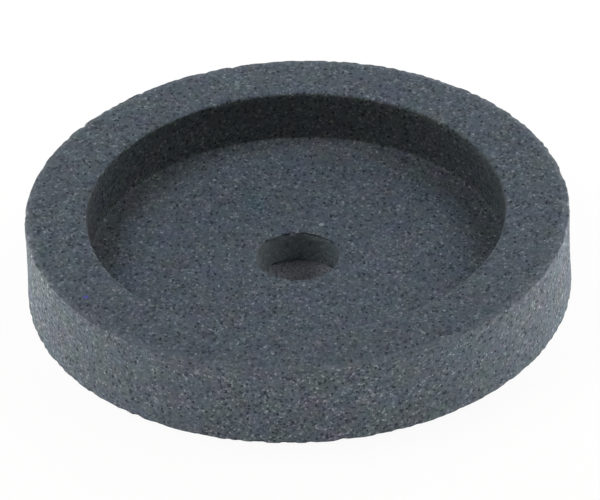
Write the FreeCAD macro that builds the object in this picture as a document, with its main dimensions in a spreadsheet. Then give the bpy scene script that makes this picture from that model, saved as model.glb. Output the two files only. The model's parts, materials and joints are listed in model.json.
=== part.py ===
import FreeCAD, Part
import math
import os
import Sketcher

# Grinding wheel, recessed on one side: one disc of abrasive grain, pressed in a mould and fired.
# Millimetres and degrees. +Z runs along the wheel's axis, out of the recess. The origin is the
# centre of the flat back face, which the wheel rests on.

# Driving sizes: alias, value, what it measures
SIZES = [
    ("wheel_diameter", 40.0, "outside of the grinding rim"),
    ("wheel_thickness", 6.5, "back face to rim face"),
    ("rim_width", 4.6, "flat grinding face, from the outside to the recess mouth"),
    ("web_thickness", 2.5, "back face to recess floor"),
    ("recess_draft", 1.0, "lean of the recess wall that lets the punch out, in degrees"),
    ("bore_diameter", 6.0, "hole for the arbor"),
    ("rim_edge_round", 0.3, "worn outside corner of the rim face"),
    ("recess_foot_round", 0.2, "inside corner where the recess wall meets the floor"),
    ("mouth_bevel", 0.15, "thin bevel round the recess mouth"),
    ("back_edge_bevel", 0.15, "bevel of the outside at the back face"),
    ("bore_front_bevel", 0.15, "bevel of the bore at the recess floor"),
    ("bore_back_bevel", 0.15, "bevel of the bore at the back face"),
]

# Two ways to dress a corner: the feature that does it, and the property that takes its size
ROUNDING = ("PartDesign::Fillet", "Radius")
BEVELLING = ("PartDesign::Chamfer", "Size")

# How near an edge has to lie to the place it is looked for
EDGE_TOLERANCE = 1e-4

# How far the dressed corners may take the solid's volume from that of its plain discs
VOLUME_TOLERANCE = 0.02


def make_size_sheet(doc):
    """Write the driving sizes into the document's sheet, one alias a row."""
    sheet = doc.addObject("Spreadsheet::Sheet", "sizes")
    for row, (alias, value, meaning) in enumerate(SIZES, start=1):
        sheet.set(f"A{row}", meaning)
        sheet.set(f"B{row}", str(value))
        sheet.setAlias(f"B{row}", alias)
    doc.recompute()
    return sheet


def origin_plane(body, role):
    """Find one of the body's own origin planes, such as XZ_Plane."""
    return next(plane for plane in body.Origin.OriginFeatures if plane.Role == role)


def draw_section(body, sheet):
    """Draw the right half of the wheel's section, with the wheel's axis as the sketch's vertical axis."""
    sketch = body.newObject("Sketcher::SketchObject", "wheel_section")
    sketch.AttachmentSupport = (origin_plane(body, "XZ_Plane"), "")
    sketch.MapMode = "FlatFace"

    outside = sheet.wheel_diameter / 2
    mouth = outside - sheet.rim_width
    bore = sheet.bore_diameter / 2
    corners = [
        (bore, 0),
        (outside, 0),
        (outside, sheet.wheel_thickness),
        (mouth, sheet.wheel_thickness),
        (mouth, sheet.web_thickness),
        (bore, sheet.web_thickness),
    ]
    points = [FreeCAD.Vector(radius, height, 0) for radius, height in corners]
    back, rim_side, rim_face, recess_wall, recess_floor, bore_wall = range(len(points))
    for index, start in enumerate(points):
        end = points[(index + 1) % len(points)]
        sketch.addGeometry(Part.LineSegment(start, end), False)

    # In a sketch, 1 is a line's start and 2 its end. Line -1 is the horizontal axis, and its
    # start is the sketch's origin.
    line_start, line_end = 1, 2
    horizontal_axis = -1
    for index in range(len(points)):
        following = (index + 1) % len(points)
        sketch.addConstraint(Sketcher.Constraint("Coincident", index, line_end, following, line_start))
    for line in (back, rim_face, recess_floor):
        sketch.addConstraint(Sketcher.Constraint("Horizontal", line))
    for line in (rim_side, bore_wall):
        sketch.addConstraint(Sketcher.Constraint("Vertical", line))
    sketch.addConstraint(Sketcher.Constraint("PointOnObject", back, line_start, horizontal_axis))

    # Each measured distance: its name, the points it runs between, and its link to the sheet
    recess_lean = "(sizes.wheel_thickness - sizes.web_thickness) * tan(sizes.recess_draft * 1deg)"
    distances = [
        ("bore_radius", "DistanceX", (horizontal_axis, line_start), (back, line_start),
         "sizes.bore_diameter / 2"),
        ("wheel_radius", "DistanceX", (horizontal_axis, line_start), (back, line_end),
         "sizes.wheel_diameter / 2"),
        ("rim_height", "DistanceY", (rim_side, line_start), (rim_side, line_end),
         "sizes.wheel_thickness"),
        ("rim_land", "DistanceX", (rim_face, line_end), (rim_face, line_start),
         "sizes.rim_width"),
        ("foot_inset", "DistanceX", (recess_wall, line_end), (rim_face, line_start),
         f"sizes.rim_width + {recess_lean}"),
        ("web_height", "DistanceY", (bore_wall, line_end), (bore_wall, line_start),
         "sizes.web_thickness"),
    ]
    for name, kind, start, end, link in distances:
        number = sketch.addConstraint(Sketcher.Constraint(kind, *start, *end, 1.0))
        sketch.renameConstraint(number, name)
        sketch.setExpression(f"Constraints.{name}", link)
    return sketch


def turn_section(body, sketch):
    """Carry the half section once round the wheel's axis."""
    turned = body.newObject("PartDesign::Revolution", "turned_wheel")
    turned.Profile = sketch
    turned.ReferenceAxis = (sketch, ["V_Axis"])
    turned.Angle = 360
    sketch.Visibility = False
    return turned


def round_edge(shape, radius, height):
    """Name the circular edge of this radius about the wheel's axis, at this height."""
    for number, edge in enumerate(shape.Edges, start=1):
        curve = edge.Curve
        if not isinstance(curve, Part.Circle):
            continue
        off_radius = abs(curve.Radius - radius)
        off_height = abs(curve.Center.z - height)
        if max(off_radius, off_height) < EDGE_TOLERANCE:
            return f"Edge{number}"
    raise RuntimeError(f"no round edge of radius {radius} at height {height}")


def dress_edge(doc, body, base, dressing, size_name, radius, height):
    """Round or bevel one circular edge of the base feature by the size of that name."""
    kind, size_property = dressing
    doc.recompute()
    edge = round_edge(base.Shape, radius, height)
    dressed = body.newObject(kind, f"{size_name}_dressing")
    dressed.Base = (base, [edge])
    dressed.setExpression(size_property, f"sizes.{size_name}")
    body.Tip = dressed
    return dressed


def dress_corners(doc, body, sheet, turned):
    """Round and bevel the corners of the turned wheel, each by its own size."""
    outside = sheet.wheel_diameter / 2
    thickness = sheet.wheel_thickness
    web = sheet.web_thickness
    bore = sheet.bore_diameter / 2
    mouth = outside - sheet.rim_width
    foot = mouth - (thickness - web) * math.tan(math.radians(sheet.recess_draft))

    # Each corner: the dressing, its size in the sheet, and where its edge lies before it is dressed
    corners = [
        (ROUNDING, "rim_edge_round", outside, thickness),
        (ROUNDING, "recess_foot_round", foot, web),
        (BEVELLING, "mouth_bevel", mouth, thickness),
        (BEVELLING, "back_edge_bevel", outside, 0),
        (BEVELLING, "bore_front_bevel", bore, web),
        (BEVELLING, "bore_back_bevel", bore, 0),
    ]
    dressed = turned
    for dressing, size_name, radius, height in corners:
        dressed = dress_edge(doc, body, dressed, dressing, size_name, radius, height)


def make_wheel(doc, sheet):
    """Build the one-piece wheel as a body: a turned section with its corners dressed."""
    body = doc.addObject("PartDesign::Body", "grinding_wheel")
    body.Label = "grinding_wheel"
    body.Placement = FreeCAD.Placement()
    turned = turn_section(body, draw_section(body, sheet))
    dress_corners(doc, body, sheet, turned)
    doc.recompute()
    return body


def plain_disc_volume(sheet):
    """Volume of the full disc, less the drafted recess and the bore, with sharp corners."""
    outside = sheet.wheel_diameter / 2
    mouth = outside - sheet.rim_width
    depth = sheet.wheel_thickness - sheet.web_thickness
    foot = mouth - depth * math.tan(math.radians(sheet.recess_draft))
    bore = sheet.bore_diameter / 2
    disc = math.pi * outside**2 * sheet.wheel_thickness
    recess = math.pi * depth * (mouth**2 + mouth * foot + foot**2) / 3
    hole = math.pi * bore**2 * sheet.web_thickness
    return disc - recess - hole


def check_document(doc):
    """Stop if any object of the document failed to build."""
    for item in doc.Objects:
        if {"Invalid", "Error"} & set(item.State):
            raise RuntimeError(f"{item.Name} failed: {item.State}")


def check_wheel(body, sheet):
    """Stop unless the wheel is one sound solid with its recess and bore really cut."""
    shape = body.Shape
    if shape.isNull() or not shape.isValid():
        raise RuntimeError(f"{body.Label} has no valid shape")
    if len(shape.Solids) != 1:
        raise RuntimeError(f"{body.Label} has {len(shape.Solids)} solids")
    plain = plain_disc_volume(sheet)
    if abs(shape.Volume - plain) > VOLUME_TOLERANCE * plain:
        raise RuntimeError(f"{body.Label} measures {shape.Volume:.1f} mm3, not about {plain:.1f}")
    print(f"{body.Label}: {shape.Volume:.1f} mm3, plain discs {plain:.1f} mm3, box {shape.BoundBox}")


def main():
    doc = FreeCAD.newDocument("grinding_wheel_part")
    sheet = make_size_sheet(doc)
    wheel = make_wheel(doc, sheet)
    check_document(doc)
    check_wheel(wheel, sheet)
    os.makedirs("parts", exist_ok=True)
    wheel.Shape.exportStep(os.path.join("parts", f"{wheel.Label}.step"))


main()
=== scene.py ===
import itertools
import json
import math

import bpy
import numpy as np
from mathutils import Matrix, Vector


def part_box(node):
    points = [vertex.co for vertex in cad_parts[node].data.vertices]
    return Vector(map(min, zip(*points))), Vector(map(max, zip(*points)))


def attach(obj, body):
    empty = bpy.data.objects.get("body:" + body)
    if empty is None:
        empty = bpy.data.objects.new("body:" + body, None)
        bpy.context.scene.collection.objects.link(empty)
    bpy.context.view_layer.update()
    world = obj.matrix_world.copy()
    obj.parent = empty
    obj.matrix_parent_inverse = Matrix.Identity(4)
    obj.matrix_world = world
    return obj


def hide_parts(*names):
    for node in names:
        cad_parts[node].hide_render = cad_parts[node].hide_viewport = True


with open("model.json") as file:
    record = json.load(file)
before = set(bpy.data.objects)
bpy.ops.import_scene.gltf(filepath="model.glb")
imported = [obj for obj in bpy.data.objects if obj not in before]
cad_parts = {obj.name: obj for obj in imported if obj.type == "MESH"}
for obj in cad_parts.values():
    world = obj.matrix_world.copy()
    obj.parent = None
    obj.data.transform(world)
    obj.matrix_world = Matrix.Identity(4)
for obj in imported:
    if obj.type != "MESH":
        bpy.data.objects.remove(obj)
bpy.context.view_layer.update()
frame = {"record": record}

# The finish of a recessed grinding wheel: one disc of fired abrasive grain. Metres, +Z up along
# the wheel's axis, with the origin at the centre of the back face, which rests on the floor.

MM = 0.001
WHEEL = "grinding_wheel"

# Sizes that the frame gives
lowest, highest = (np.array(corner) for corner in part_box(WHEEL))
mounts = {mount["name"]: mount for mount in frame["record"]["mounts"]}
OUTSIDE = (highest[0] - lowest[0]) / 2
THICKNESS = highest[2] - lowest[2]
BORE = mounts["bore"]["dims"]["r_mm"] * MM
WEB = mounts["nut_seat"]["pos_m"][2]

# Sizes of the pressed form that the frame doesn't give
RIM_WIDTH = 4.68 * MM
RECESS_DRAFT = math.radians(1.0)
RIM_EDGE_ROUND = 0.15 * MM
RECESS_FOOT_ROUND = 0.2 * MM
MOUTH_ROUND = 0.22 * MM
BACK_EDGE_ROUND = 0.08 * MM
BORE_FRONT_ROUND = 0.06 * MM
BORE_BACK_ROUND = 0.05 * MM

MOUTH = OUTSIDE - RIM_WIDTH
FOOT = MOUTH - (THICKNESS - WEB) * math.tan(RECESS_DRAFT)

# How finely the surface is divided
FRONT_STEP = 0.2 * MM
BACK_STEP = 0.5 * MM
WALL_STEP = 0.22 * MM
CORNER_STEPS = 5
RING_STEPS = 672
HALVE_RINGS_INSIDE = (14.4 * MM, 7.4 * MM)

# How the pressed and fired grain departs from the plain section, each depth into the stone
WEAR_REACH = 0.3 * MM
SWELL_SIZE, SWELL_DEPTH, SWELL_SEED = 2.6 * MM, 0.012 * MM, 11
GRAIN_BED_SIZE, GRAIN_BED_DEPTH, GRAIN_BED_SEED = 0.42 * MM, 0.03 * MM, 23
PIT_SPACING, PIT_DEPTH, PIT_SEED = 0.75 * MM, 0.07 * MM, 37
PIT_REACH, PIT_SHARE = 0.42, 0.3
CORNER_LOSS_SIZE, CORNER_LOSS_DEPTH, CORNER_LOSS_SEED = 0.4 * MM, 0.16 * MM, 41
CHIP_SPACING, CHIP_DEPTH, CHIP_SEED = 0.8 * MM, 0.16 * MM, 53
CHIP_REACH, CHIP_SHARE = 0.35, 0.4

# The one larger chip, on the front edge of the bore
BORE_CHIP_AZIMUTH = math.radians(60)
BORE_CHIP_SPREAD = math.radians(17)
BORE_CHIP_DEPTH = 0.18 * MM

# Where the mouth of the recess stands a little proud of its circle
MOUTH_LIP_AZIMUTH = math.radians(134)
MOUTH_LIP_SPREAD = math.radians(22)
MOUTH_LIP_HEIGHT = 0.12 * MM

# How far the side is hollowed between its two edges, and which points count as its own
WAIST_DEPTH = 0.065 * MM
WAIST_EDGE = 0.01 * MM

# How much larger in radius the bore came out than its nominal size, and how far round it that shows
BORE_OVERSIZE = 0.04 * MM
BORE_OVERSIZE_REACH = 1 * MM

# How far the recess and the bore were pressed off the axis of the rim: fully from the mouth inward,
# and not at all within a margin of the outside
PUNCH_SHIFT = (-0.08 * MM, 0.15 * MM)
PUNCH_SHIFT_MARGIN = 0.5 * MM

# Large primes that turn a cell's whole numbers into a random one
CELL_PRIMES = (73856093, 19349663, 83492791)
SEED_PRIME = 2654435761
MIXING_PRIME = 2246822519
RANDOM_BITS = 24


def cell_random(cells, seed):
    """A repeatable number from 0 to 1 for each whole-numbered cell: its three parts, each times a
    large prime, are crossed bit by bit with the seed, mixed twice, and cut to 24 bits."""
    parts = cells.astype(np.int64) * np.array(CELL_PRIMES)
    mixed = parts[..., 0] ^ parts[..., 1] ^ parts[..., 2] ^ (seed * SEED_PRIME)
    for shift in (15, 13):
        mixed = (mixed ^ (mixed >> shift)) * MIXING_PRIME
    mixed ^= mixed >> 16
    largest = 2**RANDOM_BITS - 1
    return (mixed & largest) / largest


def soft_noise(points, size, seed):
    """Smooth noise from 0 to 1: every corner of a cubic lattice has its own random number, and a
    point takes the mean of the eight round it, weighted by 3t^2 - 2t^3 of its place t between
    them."""
    place = points / size
    cell = np.floor(place)
    part = place - cell
    weight = part * part * (3 - 2 * part)
    total = np.zeros(len(points))
    for corner in itertools.product((0, 1), repeat=3):
        share = np.where(np.array(corner) == 1, weight, 1 - weight).prod(axis=1)
        total += share * cell_random(cell + corner, seed)
    return total


def nearest_grain(points, size, seed):
    """Distance to the nearest grain centre, as a share of size, and that grain's own random number.
    Each cubic cell holds one grain at a random place, and the 27 cells round a point are tried."""
    place = points / size
    home = np.floor(place)
    nearest = np.full(len(points), np.inf)
    number = np.zeros(len(points))
    for step in itertools.product((-1, 0, 1), repeat=3):
        cell = home + step
        centre = cell + np.stack([cell_random(cell, seed + axis) for axis in range(3)], axis=1)
        distance = np.linalg.norm(place - centre, axis=1)
        closer = distance < nearest
        nearest = np.where(closer, distance, nearest)
        number = np.where(closer, cell_random(cell, seed + 3), number)
    return nearest, number


def smooth_step(value, start, end):
    """0 at start and before it, 1 at end and past it, and 3t^2 - 2t^3 between them, where t runs
    from 0 to 1. The end may be the smaller number."""
    part = np.clip((value - start) / (end - start), 0, 1)
    return part * part * (3 - 2 * part)


def bell(angle, middle, spread, places, edge):
    """A share from 0 to 1 that falls off as a bell curve with the azimuth's distance from the
    middle, and with the section point's distance from the edge, which is a radius and a height."""
    off_azimuth = np.angle(np.exp(1j * (angle - middle))) / spread
    off_edge = np.linalg.norm(places - np.array(edge), axis=1) / WEAR_REACH
    return np.exp(-(off_azimuth**2) - off_edge**2)


def wheel_section():
    """The closed half section, corner by corner from the outside of the back face: radius, height,
    rounding, how much the corner is worn, and the step along the straight that follows it."""
    return [
        (OUTSIDE, 0, BACK_EDGE_ROUND, 0.8, FRONT_STEP),
        (OUTSIDE, THICKNESS, RIM_EDGE_ROUND, 1.0, FRONT_STEP),
        (MOUTH, THICKNESS, MOUTH_ROUND, 0.6, WALL_STEP),
        (FOOT, WEB, RECESS_FOOT_ROUND, 0.0, FRONT_STEP),
        (BORE, WEB, BORE_FRONT_ROUND, 0.7, WALL_STEP),
        (BORE, 0, BORE_BACK_ROUND, 0.3, BACK_STEP),
    ]


def section_rows(corners):
    """Sample the section as rows: place, outward normal, distance run along it, and corner wear.

    A straight runs between the tangent points of its two corners' arcs, in equal steps. An arc of
    radius q touches both straights where each is q * tan(turn / 2) from the corner, and its points
    are its centre plus q times the outward normal, turned evenly from one straight to the next.
    A corner's wear is its own amount times exp(-(distance / reach)^2), with the distance run from
    the middle of its arc, and a row takes the largest of its corners' wears."""
    points = np.array([corner[:2] for corner in corners], dtype=float)
    ahead = np.roll(points, -1, axis=0) - points
    ahead /= np.linalg.norm(ahead, axis=1, keepdims=True)
    behind = np.roll(ahead, 1, axis=0)
    leftward = behind[:, 0] * ahead[:, 1] - behind[:, 1] * ahead[:, 0]
    turn = np.arctan2(leftward, (behind * ahead).sum(axis=1))

    places, normals, arcs = [], [], []
    for index, (_, _, rounding, _, step) in enumerate(corners):
        tangent = rounding * math.tan(abs(turn[index]) / 2)
        side = math.copysign(1, turn[index])
        normal = np.array([behind[index][1], -behind[index][0]])
        centre = points[index] - tangent * behind[index] - side * rounding * normal
        angles = turn[index] * np.linspace(0, 1, CORNER_STEPS + 1)
        cosine, sine = np.cos(angles), np.sin(angles)
        turned_radius = cosine * normal[0] - sine * normal[1]
        turned_height = sine * normal[0] + cosine * normal[1]
        turned = np.stack([turned_radius, turned_height], axis=1)
        arc = centre + side * rounding * turned
        arcs.append(len(places) + np.arange(CORNER_STEPS + 1))
        places.extend(arc)
        normals.extend(turned)

        following = (index + 1) % len(corners)
        lean = math.tan(abs(turn[following]) / 2)
        end = points[following] - ahead[index] * corners[following][2] * lean
        count = max(1, round(np.linalg.norm(end - arc[-1]) / step))
        share = np.linspace(0, 1, count + 1)[1:-1, None]
        straight = arc[-1] + share * (end - arc[-1])
        places.extend(straight)
        normals.extend(np.repeat(turned[-1:], len(straight), axis=0))

    places, normals = np.array(places), np.array(normals)
    gaps = np.linalg.norm(np.roll(places, -1, axis=0) - places, axis=1)
    run = np.concatenate([[0], np.cumsum(gaps)[:-1]])
    wear = np.zeros(len(places))
    for rows, corner in zip(arcs, corners):
        off = np.abs(run - run[rows].mean())
        off = np.minimum(off, gaps.sum() - off)
        wear = np.maximum(wear, corner[3] * np.exp(-((off / WEAR_REACH) ** 2)))
    return places, normals, run, wear


def lay_rings(places):
    """Give each row of the section a closed ring of points: how many it has, which point it starts
    at, and every point's row and azimuth. A ring has half as many points inside each limit, so that
    points lie about as far apart everywhere."""
    halvings = sum((places[:, 0] < limit).astype(int) for limit in HALVE_RINGS_INSIDE)
    counts = RING_STEPS >> halvings
    starts = np.concatenate([[0], np.cumsum(counts)[:-1]])
    row = np.repeat(np.arange(len(counts)), counts)
    column = np.arange(counts.sum()) - starts[row]
    return counts, starts, row, 2 * math.pi * column / counts[row]


def lost_depth(points, wear):
    """How far each point lies below the plain section: a slow swell, a bed of grains, a pit where a
    grain has dropped out, ragged loss at the corners, and a rounded bite for each chip."""
    swell = SWELL_DEPTH * soft_noise(points, SWELL_SIZE, SWELL_SEED)
    bed = GRAIN_BED_DEPTH * soft_noise(points, GRAIN_BED_SIZE, GRAIN_BED_SEED)
    near, number = nearest_grain(points, PIT_SPACING, PIT_SEED)
    pits = PIT_DEPTH * (number < PIT_SHARE) * np.clip(1 - (near / PIT_REACH) ** 2, 0, 1)
    loss = soft_noise(points, CORNER_LOSS_SIZE, CORNER_LOSS_SEED) ** 3
    ragged = CORNER_LOSS_DEPTH * wear * loss
    near, number = nearest_grain(points, CHIP_SPACING, CHIP_SEED)
    bites = (number < CHIP_SHARE) * np.clip(1 - (near / CHIP_REACH) ** 2, 0, 1)
    chips = CHIP_DEPTH * wear * bites
    return swell + bed + pits + ragged + chips


def bore_chip(angle, places):
    """How fully each point lies in the larger chip, from 0 to 1."""
    return bell(angle, BORE_CHIP_AZIMUTH, BORE_CHIP_SPREAD, places, (BORE, WEB))


def pressed_points(angle, places, normals, wear):
    """Where each point of the skin lies: (radius * cos(a), radius * sin(a), height), less the lost
    depth along the outward normal. The bore is then widened and the mouth's lip drawn inward, both
    along the radius, and the recess and the bore are shifted together."""
    radius, height = places.T
    away = np.stack([np.cos(angle), np.sin(angle)], axis=1)
    points = np.column_stack([radius[:, None] * away, height])
    outward = np.column_stack([normals[:, :1] * away, normals[:, 1]])

    waist = np.sin(math.pi * height / THICKNESS) * (radius > OUTSIDE - WAIST_EDGE)
    chip = BORE_CHIP_DEPTH * bore_chip(angle, places)
    depth = lost_depth(points, wear) + chip + WAIST_DEPTH * waist
    points -= depth[:, None] * outward

    lip = bell(angle, MOUTH_LIP_AZIMUTH, MOUTH_LIP_SPREAD, places, (MOUTH, THICKNESS))
    widened = BORE_OVERSIZE * smooth_step(radius, BORE + BORE_OVERSIZE_REACH, BORE)
    points[:, :2] += (widened - MOUTH_LIP_HEIGHT * lip)[:, None] * away
    shifted = smooth_step(radius, OUTSIDE - PUNCH_SHIFT_MARGIN, MOUTH)
    points[:, :2] += shifted[:, None] * PUNCH_SHIFT
    return points


def stack_faces(blocks):
    """Turn lists of face corners into one array of faces by corners by (row, column)."""
    faces = []
    for corners in blocks:
        pairs = [np.stack(np.broadcast_arrays(row, column), axis=1) for row, column in corners]
        faces.append(np.stack(pairs, axis=1))
    return np.concatenate(faces)


def ring_blocks(counts):
    """Faces between each row and the next, and from the last back to the first, as (row, column)
    corners. Equal rows make four-sided faces. Where a row has twice its neighbour's points, three
    triangles go to each step of the coarser one. Columns run past the last, back to the first."""
    four_sided, three_sided = [], []
    for row, count in enumerate(counts):
        above = (row + 1) % len(counts)
        count_above = counts[above]
        step = np.arange(min(count, count_above))
        fine = 2 * step
        if count == count_above:
            four_sided.append([(row, step), (row, step + 1), (above, step + 1), (above, step)])
        elif count < count_above:
            three_sided.append([(row, step), (above, fine + 1), (above, fine)])
            three_sided.append([(row, step), (row, step + 1), (above, fine + 1)])
            three_sided.append([(row, step + 1), (above, fine + 2), (above, fine + 1)])
        else:
            three_sided.append([(row, fine), (row, fine + 1), (above, step)])
            three_sided.append([(row, fine + 1), (above, step + 1), (above, step)])
            three_sided.append([(row, fine + 1), (row, fine + 2), (above, step + 1)])
    return stack_faces(four_sided), stack_faces(three_sided)


# The flat layout of the skin, on a square of this side: the front disc, the back disc at a smaller
# scale, and the side, the recess wall and the bore each as two half bands. Places are in mm.
CHART_MAP = "OFBake"
CHART_SIDE = 65.4
CHART_GAP = 0.4
BACK_SCALE = 0.6
FRONT_CHART, BACK_CHART, SIDE_CHART, WALL_CHART, BORE_CHART = range(5)
DISC_CENTRES = {FRONT_CHART: (20.4, 44.9), BACK_CHART: (53.1, 37.1)}
BAND_FLOORS = {SIDE_CHART: 0.4, WALL_CHART: 15.0, BORE_CHART: 54.0}
BAND_LEFTS = {SIDE_CHART: 0.4, WALL_CHART: 0.4, BORE_CHART: 42.0}

# A face is on a disc if its normal rises or falls by more than this. Otherwise its radius, in mm,
# tells whether it is on the side, the recess wall or the bore.
DISC_NORMAL = 0.7
SIDE_RADIUS = 17.5
WALL_RADIUS = 8.0


def chart_places(block, counts, places, normals, run):
    """Where each face corner lies on the flat layout, from 0 to 1. On a disc it is the disc's
    centre plus radius times the direction of the azimuth. On a band it is the arc length from the
    start of its half, and the distance run along the section from the band's lowest row."""
    row, column = block[..., 0], block[..., 1]
    angle = 2 * math.pi * column / counts[row]
    radius = places[row, 0] / MM
    upward = normals[row, 1].mean(axis=1)
    middle = radius.mean(axis=1)
    chart = np.select(
        [upward > DISC_NORMAL, upward < -DISC_NORMAL, middle > SIDE_RADIUS, middle > WALL_RADIUS],
        [FRONT_CHART, BACK_CHART, SIDE_CHART, WALL_CHART],
        BORE_CHART,
    )
    placed = np.zeros(block.shape)
    away = np.stack([np.cos(angle), np.sin(angle)], axis=-1)
    for disc, centre in DISC_CENTRES.items():
        scale = BACK_SCALE if disc == BACK_CHART else 1.0
        flat = away * (radius * scale)[..., None] + centre
        placed = np.where((chart == disc)[:, None, None], flat, placed)
    for band, floor in BAND_FLOORS.items():
        here = chart == band
        if not here.any():
            continue
        half = (angle.mean(axis=1) > math.pi).astype(float)
        along = (angle - half[:, None] * math.pi) * middle[here].max() + BAND_LEFTS[band]
        rise = (run[row] - run[row[here]].min()) / MM
        across = floor + half[:, None] * (rise[here].max() + CHART_GAP) + rise
        placed = np.where(here[:, None, None], np.stack([along, across], axis=-1), placed)
    return placed / CHART_SIDE


# What the skin carries for its material. Each is a share from 0 to 1, apart from the open side and
# its painted shading, which is more than 1 where the grain is most open and its tones spread most,
# and less than 0 where least.
WEAR = "corner_wear"
FRESH_BREAK = "fresh_break"
OPEN_SIDE_AND_SHADING = "open_side"
BORE_PAINTED_LIGHT = "bore_dust"
WALL_PAINTED_SHADE = "wall_dust"
FOOT_PAINTED_LIGHT = "foot_dust"
PAINTED_EDGE_HIGHLIGHT = "pale_edge"

# How to tell the skin's faces apart: how much their normals rise, and how near they lie to the
# plain section's own
STEEP_NORMAL = 0.8
WEB_NORMAL = 0.5
BREAK_NORMAL = 0.3
NEAR_OUTSIDE = 0.2 * MM
NEAR_WALL = 1 * MM
NEAR_WEB = 0.3 * MM

# The open side: the side's grain is opener than the pressed faces, and how much changes round it as
# painted shading, most at four places round it, and less by this much half-way between them
SIDE_SHADING_MOST, SIDE_SHADING_LESS = 3, 3.7

# Painted highlight: a pale band on the rim face, next to its outer corner, where the rounded corner
# catches the light
EDGE_HIGHLIGHT_INSET = 0.3 * MM
EDGE_HIGHLIGHT_REACH = 0.2 * MM

# Painted light in the bore: a paler colour added all round it, and more towards -X, that lightens
# the shade on its wall
BORE_LIGHT_EVEN, BORE_LIGHT_MORE = 0.4, 0.3
BORE_LIGHT_REACH = 0.04 * MM

# Painted shade and light in the recess. The wall takes the warm, darker tint of shade everywhere,
# more towards +Y and -Y, and so does the web beside the wall's foot in the far half, towards +Y.
# The web is painted a little lighter everywhere, and lighter still at the foot of the wall in the
# far half, towards +Y, against the wall's shade there. The far half sets in over a range of
# sin(a), and each band over a range of radius.
WALL_SHADE_EVEN, WALL_SHADE_MORE = 0.65, 0.35
WEB_PAINTED_LIGHT_EVEN = 0.1
FAR_HALF = (-0.15, 0.15)
FAR_WEB_PAINTED_SHADE, FAR_WEB_SHADE_BAND = 0.6, (12 * MM, 14.2 * MM)
FAR_FOOT_LIGHT_EVEN, FAR_FOOT_LIGHT_MORE = 0.1, 0.8
FAR_FOOT_LIGHT_BAND = (11.5 * MM, 15 * MM)


def finish_shares(angle, places, normals, run, wear):
    """Each point's shares. The side's, its open grain with painted shading, is most - less *
    sin(2a)^2.
    The bore's painted light is even + more * -cos(a), where that adds. The wall's painted shade is
    even + more * sin(a)^2, and the painted light at its foot in the far half is even + more *
    sin(a)^4. The painted highlight on the rim face's edge is exp(-(distance / reach)^2), with the
    distance run along the section."""
    radius, height = places.T
    upward = normals[:, 1]
    sine, cosine = np.sin(angle), np.cos(angle)
    steep = abs(upward) < STEEP_NORMAL
    on_side = smooth_step(radius, OUTSIDE - NEAR_OUTSIDE, OUTSIDE) * steep
    on_wall = steep * (abs(radius - MOUTH) < NEAR_WALL)
    on_web = (upward > WEB_NORMAL) * (abs(height - WEB) < NEAR_WEB)
    far_half = smooth_step(sine, *FAR_HALF)

    # Painted light in the bore, more towards -X
    bore_dust = BORE_LIGHT_EVEN + BORE_LIGHT_MORE * np.clip(-cosine, 0, 1)
    # Painted shade: a warm, darker tint on the recess wall, more towards +Y and -Y
    wall_dust = WALL_SHADE_EVEN + WALL_SHADE_MORE * sine**2
    # Painted shade: the same tint on the web beside the wall's foot, in the far half
    far_web_painted_shade = FAR_WEB_PAINTED_SHADE * far_half * smooth_step(radius, *FAR_WEB_SHADE_BAND)
    # Painted light on the web at the wall's foot, in the far half, against the wall's shade
    far_foot_painted_light = FAR_FOOT_LIGHT_EVEN + FAR_FOOT_LIGHT_MORE * sine**4
    far_foot_painted_light = far_foot_painted_light * far_half * smooth_step(radius, *FAR_FOOT_LIGHT_BAND)
    # Painted highlight: a pale band along the rim face's outer corner
    off_edge_highlight = np.hypot(radius - OUTSIDE + EDGE_HIGHLIGHT_INSET, height - THICKNESS)
    past_edge_highlight = run - run[np.argmin(off_edge_highlight)]
    return {
        WEAR: wear,
        FRESH_BREAK: bore_chip(angle, places) * (upward > BREAK_NORMAL),
        # The side's open grain, with painted shading that changes round it
        OPEN_SIDE_AND_SHADING: on_side * (SIDE_SHADING_MOST - SIDE_SHADING_LESS * np.sin(2 * angle) ** 2),
        BORE_PAINTED_LIGHT: bore_dust * smooth_step(radius, BORE + BORE_LIGHT_REACH, BORE),
        # Painted shade on the recess wall and on the web beside its foot
        WALL_PAINTED_SHADE: on_wall * wall_dust + on_web * far_web_painted_shade,
        # Painted light on the web, most at the wall's foot in the far half
        FOOT_PAINTED_LIGHT: on_web * (WEB_PAINTED_LIGHT_EVEN + far_foot_painted_light),
        PAINTED_EDGE_HIGHLIGHT: np.exp(-((past_edge_highlight / EDGE_HIGHLIGHT_REACH) ** 2)),
    }


def build_wheel():
    """The wheel's skin: its half section carried round the axis as closed rings of points, and
    pressed, worn and chipped. It has its flat layout and its shares with it."""
    places, normals, run, wear = section_rows(wheel_section())
    counts, starts, row, angle = lay_rings(places)
    points = pressed_points(angle, places[row], normals[row], wear[row])
    faces, charted = [], []
    for block in ring_blocks(counts):
        index = starts[block[..., 0]] + block[..., 1] % counts[block[..., 0]]
        faces.extend(index.tolist())
        charted.append(chart_places(block, counts, places, normals, run).reshape(-1, 2))

    mesh = bpy.data.meshes.new("wheel_skin")
    mesh.from_pydata(points.tolist(), [], faces)
    mesh.polygons.foreach_set("use_smooth", np.ones(len(faces), dtype=bool))
    charts = mesh.uv_layers.new(name=CHART_MAP)
    charts.data.foreach_set("uv", np.concatenate(charted).astype(np.float32).ravel())
    shares = finish_shares(angle, places[row], normals[row], run[row], wear[row])
    for name, share in shares.items():
        attribute = mesh.attributes.new(name, "FLOAT", "POINT")
        attribute.data.foreach_set("value", share.astype(np.float32))
    mesh.update()
    piece = bpy.data.objects.new("wheel_skin", mesh)
    bpy.context.scene.collection.objects.link(piece)
    return piece


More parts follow.
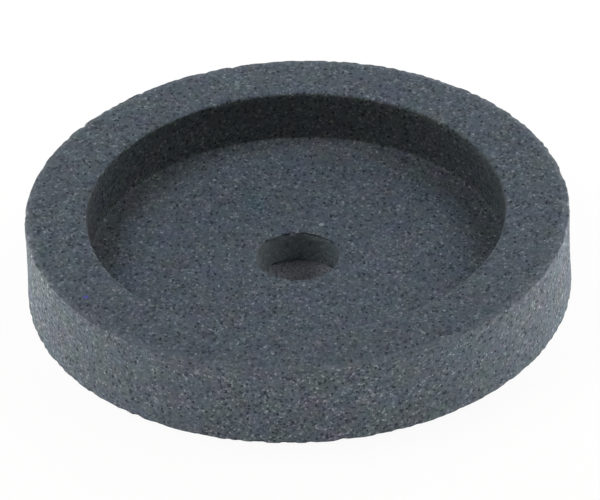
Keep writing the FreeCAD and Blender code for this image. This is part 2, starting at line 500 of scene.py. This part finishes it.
def display(red, green, blue):
    """A display colour, 0 to 255 a channel, as the linear light that the shader works in: up to
    0.04045 it is divided by 12.92, and above it is ((c + 0.055) / 1.055) ^ 2.4."""
    shown = np.array([red, green, blue]) / 255
    linear = np.where(shown <= 0.04045, shown / 12.92, ((shown + 0.055) / 1.055) ** 2.4)
    return (*linear.tolist(), 1.0)


class Value:
    """A number in the shader. Its sums, differences and products add the Math nodes that work them
    out."""

    def __init__(self, shader, socket):
        self.shader = shader
        self.socket = socket

    def math(self, operation, *values):
        """This number put through a Math node, with any further numbers that it takes."""
        inputs = dict(enumerate((self, *values)))
        return self.shader.node("ShaderNodeMath", {"operation": operation}, inputs)

    def beside(self, name):
        """Another output of the node that this one comes from."""
        return Value(self.shader, self.socket.node.outputs[name])

    def __add__(self, other):
        return self.math("ADD", other)

    def __sub__(self, other):
        return self.math("SUBTRACT", other)

    def __rsub__(self, other):
        return self.math("MULTIPLY", -1).math("ADD", other)

    def __mul__(self, other):
        return self.math("MULTIPLY", other)

    __radd__ = __add__
    __rmul__ = __mul__


class Shader:
    """One material's nodes. node() adds any node, and the other methods are named after what the
    stone and the table need."""

    def __init__(self, name):
        self.material = bpy.data.materials.new(name)
        self.material.use_nodes = True
        self.tree = self.material.node_tree
        self.tree.nodes.clear()

    def node(self, kind, settings=None, inputs=None, output=0):
        """Add a node, make its settings, then fill its sockets with values or links."""
        made = self.tree.nodes.new(kind)
        for name, value in (settings or {}).items():
            if name == "stops":
                self.set_stops(made.color_ramp.elements, value)
            else:
                setattr(made, name, value)
        for name, value in (inputs or {}).items():
            if isinstance(value, Value):
                self.tree.links.new(value.socket, made.inputs[name])
            else:
                made.inputs[name].default_value = value
        return Value(self, made.outputs[output])

    @staticmethod
    def set_stops(elements, stops):
        """Give a ramp its stops, each a place from 0 to 1 and a colour."""
        while len(elements) < len(stops):
            elements.new(1.0)
        for element, (place, colour) in zip(elements, stops):
            element.position = place
            element.color = colour

    def vector(self, operation, first, second=None, output="Vector"):
        """One or two vectors put through a Vector Math node."""
        inputs = {0: first} if second is None else {0: first, 1: second}
        return self.node("ShaderNodeVectorMath", {"operation": operation}, inputs, output)

    def blend(self, share, first, second, way="MIX"):
        """Mix two colours by a share from 0 to 1."""
        share_socket, first_socket, second_socket, colour_output = 0, 6, 7, 2
        settings = {"data_type": "RGBA", "blend_type": way, "clamp_factor": True}
        inputs = {share_socket: share, first_socket: first, second_socket: second}
        return self.node("ShaderNodeMix", settings, inputs, colour_output)

    def between(self, value, start, end):
        """0 where value is at start, 1 where it is at end, smooth between, and clamped."""
        inputs = {"Value": value, "From Min": start, "From Max": end}
        return self.node("ShaderNodeMapRange", {"interpolation_type": "SMOOTHSTEP"}, inputs)

    def carried(self, name):
        """A share that the skin carries."""
        return self.node("ShaderNodeAttribute", {"attribute_name": name}, output="Fac")

    def place(self):
        """The piece's own coordinates."""
        return self.node("ShaderNodeTexCoord", output="Object")

    def scaled_place(self, size):
        """The piece's own coordinates, counted in grains of this size, which are a little longer
        one way than the other."""
        grain = [size * stretch for stretch in GRAIN_STRETCH]
        return self.vector("DIVIDE", self.place(), grain)

    def grains(self, size):
        """Cells of about this size: the distance from each cell's centre, and its own random
        number."""
        settings = {"voronoi_dimensions": "3D", "feature": "F1"}
        inputs = {"Vector": self.scaled_place(size), "Scale": 1.0, "Randomness": 1.0}
        distance = self.node("ShaderNodeTexVoronoi", settings, inputs, "Distance")
        colour = distance.beside("Color")
        return distance, self.node("ShaderNodeSeparateColor", {}, {"Color": colour}, "Red")

    def noise(self, size, detail, output="Fac"):
        """Cloudy noise with features of about this size."""
        inputs = {"Vector": self.scaled_place(size), "Scale": 1.0, "Detail": detail}
        return self.node("ShaderNodeTexNoise", {"noise_dimensions": "3D"}, inputs, output)

    def surface(self, shader):
        """End the material in this shader."""
        output = self.tree.nodes.new("ShaderNodeOutputMaterial")
        self.tree.links.new(shader.socket, output.inputs["Surface"])


# Sizes of the stone's grain, and how much longer it is from front to back than across
GRAIN_SIZE = 0.165 * MM
FINE_GRAIN_SIZE = 0.085 * MM
CLUMP_SIZE = 0.3 * MM
CLOUD_SIZE = 1.6 * MM
GRAIN_STRETCH = (1.0, 1.35, 1.0)

# How much each adds to a grain's tone, and how far tones spread from the middle one
GRAIN_TONE, FINE_GRAIN_TONE, CLUMP_TONE, BASE_TONE = 0.67, 0.22, 0.55, 0.058
MIDDLE_TONE, MIDDLE_NOISE = 0.5, 0.5
TONE_SPREAD, OPEN_SIDE_SPREAD = 0.95, 0.045
CLOUD_SHARE = 0.16
STONE_TONES = [
    (0.0, display(22, 32, 40)),
    (0.14, display(40, 50, 59)),
    (0.3, display(62, 71, 80)),
    (0.72, display(73, 82, 91)),
    (0.88, display(96, 104, 112)),
    (1.0, display(128, 135, 142)),
]

# Pores and glints sit at the centres of the cells whose random numbers are high enough. Their reach
# runs from the spot's edge to its full strength, as a share of the spacing. An onset is the range
# over which something sets in.
PORE_SPACING, PORE_REACH = 0.44 * MM, (0.3, 0.16)
CELLS_WITHOUT_PORE, FEWER_ON_OPEN_SIDE, PORE_ONSET = 0.5, 0.02, (0.0, 0.1)
PORE_SHARE, PORE_COLOUR = 0.95, display(28, 33, 40)
GLINT_SPACING, GLINT_REACH = 0.5 * MM, (0.2, 0.1)
GLINT_ONSET = (0.55, 0.65)
GLINT_SHARE, GLINT_COLOUR = 0.47, display(138, 148, 158)

# Wear and breakage, and painted light and shade: a highlight on the rim face's edge, the tint of
# shade in the recess, and light on the web and in the bore
WORN_ONSET, WORN_SHARE = (0.4, 1.0), 0.12
# The paler colour of worn corners, and of the painted highlight on the rim face's edge
WEAR_AND_HIGHLIGHT_COLOUR = display(112, 119, 126)
BREAK_ONSET, BREAK_SHARE = (0.1, 0.6), 0.5
BREAK_COLOUR = display(112, 120, 128)
# How strongly the painted highlight on the rim face's edge shows
EDGE_HIGHLIGHT_SHARE = 0.24
# The colour of the painted light added in the bore
BORE_LIGHT_COLOUR = display(112, 119, 118)
# The warm tint of the painted shade in the recess
WALL_PAINTED_SHADE_TINT = (1.0, 0.94, 0.8, 1.0)
# How much the painted light lifts the web at the wall's foot
FOOT_PAINTED_LIGHT_TINT = (1.42, 1.38, 1.45, 1.0)

# Two stray grains of another colour: place, reach and colour
PALE_GRAIN = ((1.75 * MM, 4.12 * MM, WEB), 0.26 * MM, display(128, 136, 144))
VIOLET_GRAIN = ((-15.55 * MM, -9.75 * MM, THICKNESS), 0.26 * MM, display(74, 72, 150))
STRAY_SHARE = 0.8

# Relief and gloss of the stone
GRAIN_DOME, GRAIN_STEP, FINE_GRAIN_DOME = 0.5, 0.5, 0.25
BUMP_STRENGTH, BUMP_DEPTH = 0.6, 0.03 * MM
STONE_ROUGHNESS, DARK_GRAIN_ROUGHNESS = 0.85, 0.1
STONE_SPECULAR = 0.25


def fired_stone():
    """Bonded grain: each grain has a tone of its own, from near black to pale, with dark pores
    where grains are missing, a few pale glints and faint cool and warm clouds. The side is more
    open than the pressed faces, and painted shading changes the spread of its tones round it.
    Corners and the broken edge of the bore are paler, and a band on the rim face is a painted
    highlight. Painted light lies in the bore and on the web at the foot of the recess wall, and the
    warm tint of painted shade on the wall and beside its foot."""
    stone = Shader("fired_stone")
    open_side = stone.carried(OPEN_SIDE_AND_SHADING)
    off_grain, number = stone.grains(GRAIN_SIZE)
    off_fine_grain, fine_number = stone.grains(FINE_GRAIN_SIZE)
    clumps = stone.noise(CLUMP_SIZE, detail=1.0)
    tone = number * GRAIN_TONE + fine_number * FINE_GRAIN_TONE
    tone = tone + (clumps - MIDDLE_NOISE) * CLUMP_TONE + (BASE_TONE - MIDDLE_TONE)
    # The side spreads its tones more: its open grain, and painted shading that changes round it
    tone = tone * (TONE_SPREAD + OPEN_SIDE_SPREAD * open_side) + MIDDLE_TONE
    colour = stone.node("ShaderNodeValToRGB", {"stops": STONE_TONES}, {"Fac": tone})
    clouds = stone.noise(CLOUD_SIZE, detail=1.0, output="Color")
    colour = stone.blend(CLOUD_SHARE, colour, clouds, "OVERLAY")

    off_pore, pore_number = stone.grains(PORE_SPACING)
    past_closed = pore_number - (CELLS_WITHOUT_PORE - FEWER_ON_OPEN_SIDE * open_side)
    pore = stone.between(off_pore, *PORE_REACH) * stone.between(past_closed, *PORE_ONSET)
    colour = stone.blend(pore * PORE_SHARE, colour, PORE_COLOUR)
    off_glint, glint_number = stone.grains(GLINT_SPACING)
    glint = stone.between(off_glint, *GLINT_REACH) * stone.between(glint_number, *GLINT_ONSET)
    colour = stone.blend(glint * GLINT_SHARE, colour, GLINT_COLOUR)

    worn = stone.between(stone.carried(WEAR), *WORN_ONSET)
    colour = stone.blend(worn * WORN_SHARE, colour, WEAR_AND_HIGHLIGHT_COLOUR)
    broken = stone.between(stone.carried(FRESH_BREAK), *BREAK_ONSET)
    colour = stone.blend(broken * BREAK_SHARE, colour, BREAK_COLOUR)
    # Painted highlight: a pale band on the rim face next to its outer corner
    colour = stone.blend(stone.carried(PAINTED_EDGE_HIGHLIGHT) * EDGE_HIGHLIGHT_SHARE, colour, WEAR_AND_HIGHLIGHT_COLOUR)
    # Painted shade: the recess wall and the web beside its foot take a warm, darker tint
    colour = stone.blend(stone.carried(WALL_PAINTED_SHADE), colour, WALL_PAINTED_SHADE_TINT, "MULTIPLY")
    # Painted light: the web is lightened, most at the foot of the wall in the far half, where the
    # wall shades it
    colour = stone.blend(stone.carried(FOOT_PAINTED_LIGHT), colour, FOOT_PAINTED_LIGHT_TINT, "MULTIPLY")
    # Painted light: a paler colour added in the bore, lightening the shade on its wall
    colour = stone.blend(stone.carried(BORE_PAINTED_LIGHT), colour, BORE_LIGHT_COLOUR, "ADD")
    for place, reach, stray_colour in (PALE_GRAIN, VIOLET_GRAIN):
        off = stone.vector("DISTANCE", stone.place(), place, "Value")
        stray = stone.between(off, reach, reach / 2)
        colour = stone.blend(stray * STRAY_SHARE, colour, stray_colour)

    relief = (1 - off_grain) * GRAIN_DOME + number * GRAIN_STEP
    relief = relief + (1 - off_fine_grain) * FINE_GRAIN_DOME - pore
    raised = {"Height": relief, "Strength": BUMP_STRENGTH, "Distance": BUMP_DEPTH}
    inputs = {
        "Base Color": colour,
        "Roughness": STONE_ROUGHNESS + DARK_GRAIN_ROUGHNESS * (1 - number),
        "Specular IOR Level": STONE_SPECULAR,
        "Normal": stone.node("ShaderNodeBump", {}, raised, "Normal"),
    }
    stone.surface(stone.node("ShaderNodeBsdfPrincipled", {}, inputs, "BSDF"))
    return stone.material


# The white floor, in metres, and how much of what the camera sees of it is pure white
FLOOR_REACH = 6.0
FLOOR_COLOUR = display(236, 236, 236)
BACKGROUND_SHARE = 0.92

# Painted shade: a dark patch on the floor under the middle of the wheel, which shows through the
# bore. Its colours in front, further back, and to either side; it is painted lighter further back
# and to the sides, where the wheel shades it more
SHADE_PATCH_REACH, SHADE_PATCH_EDGE = 9.0 * MM, 1 * MM
SHADE_PATCH_FRONT = display(68, 70, 75)
SHADE_PATCH_BACK, SHADE_PATCH_BACK_ONSET = display(90, 92, 98), (0.6 * MM, 2.8 * MM)
SHADE_PATCH_SIDES, SHADE_PATCH_SIDES_ONSET = display(126, 131, 140), (0.3 * MM, 2.7 * MM)
FLECK_SIZE, FLECK_ONSET, FLECK_SHARE = 0.2 * MM, (0.4, 0.65), 0.55


def floor_material():
    """White table: lit as plain white paint, with most of what the camera sees of it made pure
    white, so that a soft shadow stays. Under the wheel's middle lies a dark patch of painted shade,
    which shows through the bore and is painted lighter where the wheel shades it more."""
    table = Shader("white_table")
    reach = table.vector("LENGTH", table.place(), output="Value")
    # Painted shade: the dark patch under the wheel's middle
    shade_patch = table.between(reach, SHADE_PATCH_REACH + SHADE_PATCH_EDGE, SHADE_PATCH_REACH)
    across = table.node("ShaderNodeSeparateXYZ", {}, {0: table.place()}, "X")
    backward = table.between(across.beside("Y"), *SHADE_PATCH_BACK_ONSET)
    sideways = table.between(across.math("ABSOLUTE"), *SHADE_PATCH_SIDES_ONSET)
    # Painted light on the patch: lighter further back and to the sides, where the wheel shades it
    # more
    shade_patch_colour = table.blend(backward, SHADE_PATCH_FRONT, SHADE_PATCH_BACK)
    shade_patch_colour = table.blend(sideways, shade_patch_colour, SHADE_PATCH_SIDES)
    flecks = table.between(table.noise(FLECK_SIZE, detail=2.0), *FLECK_ONSET)
    shade_patch_colour = table.blend(flecks * FLECK_SHARE, shade_patch_colour, PORE_COLOUR)
    colour = table.blend(shade_patch, FLOOR_COLOUR, shade_patch_colour)
    matt = table.node("ShaderNodeBsdfDiffuse", {}, {"Color": colour}, "BSDF")
    white = table.node("ShaderNodeEmission", {}, {"Strength": 1.0}, "Emission")
    rays = table.node("ShaderNodeLightPath", output="Is Camera Ray")
    seen = rays + rays.beside("Is Glossy Ray") + rays.beside("Is Transmission Ray")
    share = seen * BACKGROUND_SHARE * (1 - shade_patch)
    table.surface(table.node("ShaderNodeMixShader", {}, {0: share, 1: matt, 2: white}, "Shader"))
    return table.material


def lay_floor():
    """A flat square floor at the height that the wheel rests on."""
    mesh = bpy.data.meshes.new("floor")
    reach = FLOOR_REACH
    corners = [(-reach, -reach, 0), (reach, -reach, 0), (reach, reach, 0), (-reach, reach, 0)]
    mesh.from_pydata(corners, [], [(0, 1, 2, 3)])
    mesh.materials.append(floor_material())
    floor = bpy.data.objects.new("floor", mesh)
    bpy.context.scene.collection.objects.link(floor)


# Lamps: azimuth from +X and elevation in degrees, distance, width, height, brightness of the face,
# where 1 is white, and its colour. The soft boxes hang over the table, and the panel stands behind.
# The strips lie on the table, about as low as the rim, so that they light only the outside of the
# wheel, as a white table does.
WHITE = (1.0, 1.0, 1.0)
WARM_WHITE = (1.0, 0.93, 0.85)
LAMPS = {
    "right_soft_box": (15.0, 49.0, 0.142, 0.235, 0.066, 3.2, WHITE),
    "left_soft_box": (179.0, 53.0, 0.174, 0.135, 0.071, 5.9, WHITE),
    "back_panel": (90.0, 15.0, 0.184, 0.36, 0.072, 3.9, WHITE),
    "right_strip": (10.0, 3.5, 0.07, 0.07, 0.008, 37.5, WARM_WHITE),
    "left_strip": (169.0, 3.5, 0.07, 0.07, 0.008, 34.5, WARM_WHITE),
    "front_strip": (-90.0, 1.9, 0.053, 0.178, 0.0035, 14.6, WARM_WHITE),
}
ROOM_BRIGHTNESS = 0.075
ROOM_COLOUR = (1.0, 0.86, 0.68, 1.0)


def soft_box(name, azimuth, elevation, distance, width, height, brightness, colour):
    """A flat lamp that faces the origin from that azimuth, elevation and distance. Its power is
    brightness times its area times pi. The camera doesn't see it."""
    azimuth, elevation = math.radians(azimuth), math.radians(elevation)
    level = distance * math.cos(elevation)
    rise = distance * math.sin(elevation)
    place = Vector((level * math.cos(azimuth), level * math.sin(azimuth), rise))
    lamp = bpy.data.lights.new(name, "AREA")
    lamp.shape = "RECTANGLE"
    lamp.size = width
    lamp.size_y = height
    lamp.energy = brightness * math.pi * width * height
    lamp.color = colour
    holder = bpy.data.objects.new(name, lamp)
    holder.location = place
    holder.rotation_euler = (-place).to_track_quat("-Z", "Y").to_euler()
    holder.visible_camera = False
    bpy.context.scene.collection.objects.link(holder)


def light_studio():
    """Hang and lay the lamps, and fill the room with a dim even light."""
    for name, lamp in LAMPS.items():
        soft_box(name, *lamp)
    world = bpy.data.worlds.new("room")
    world.use_nodes = True
    background = world.node_tree.nodes["Background"]
    background.inputs["Color"].default_value = ROOM_COLOUR
    background.inputs["Strength"].default_value = ROOM_BRIGHTNESS
    bpy.context.scene.world = world


# The camera, fitted to the photographed outline: a long lens from far off. The lens and the sensor
# are in mm.
LENS = 747.94
SENSOR = 36.0
CAMERA_ELEVATION = math.radians(34.872)
CAMERA_ROLL = math.radians(2.16)
CAMERA_DISTANCE = 0.9165
CAMERA_RIGHT = 0.015 * MM
CAMERA_UP = 2.57 * MM
CAMERA_NEAREST = 0.01


def place_camera():
    """Look along +Y and down: the camera stands at distance times its back direction, moved a
    little along its right and up directions, which are turned by the roll."""
    sine, cosine = math.sin(CAMERA_ELEVATION), math.cos(CAMERA_ELEVATION)
    level_right, level_up = Vector((1, 0, 0)), Vector((0, sine, cosine))
    back = Vector((0, -cosine, sine))
    right = level_right * math.cos(CAMERA_ROLL) - level_up * math.sin(CAMERA_ROLL)
    up = level_right * math.sin(CAMERA_ROLL) + level_up * math.cos(CAMERA_ROLL)
    place = back * CAMERA_DISTANCE + right * CAMERA_RIGHT + up * CAMERA_UP
    turn = Matrix((right, up, back)).transposed().to_4x4()
    data = bpy.data.cameras.new("camera")
    data.lens = LENS
    data.sensor_width = SENSOR
    data.clip_start = CAMERA_NEAREST
    camera = bpy.data.objects.new("camera", data)
    camera.matrix_world = Matrix.Translation(place) @ turn
    bpy.context.scene.collection.objects.link(camera)
    bpy.context.scene.camera = camera


wheel = build_wheel()
wheel.data.materials.append(fired_stone())
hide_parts(WHEEL)
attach(wheel, "root")

lay_floor()
light_studio()
place_camera()
bpy.context.scene.view_settings.view_transform = "Standard"
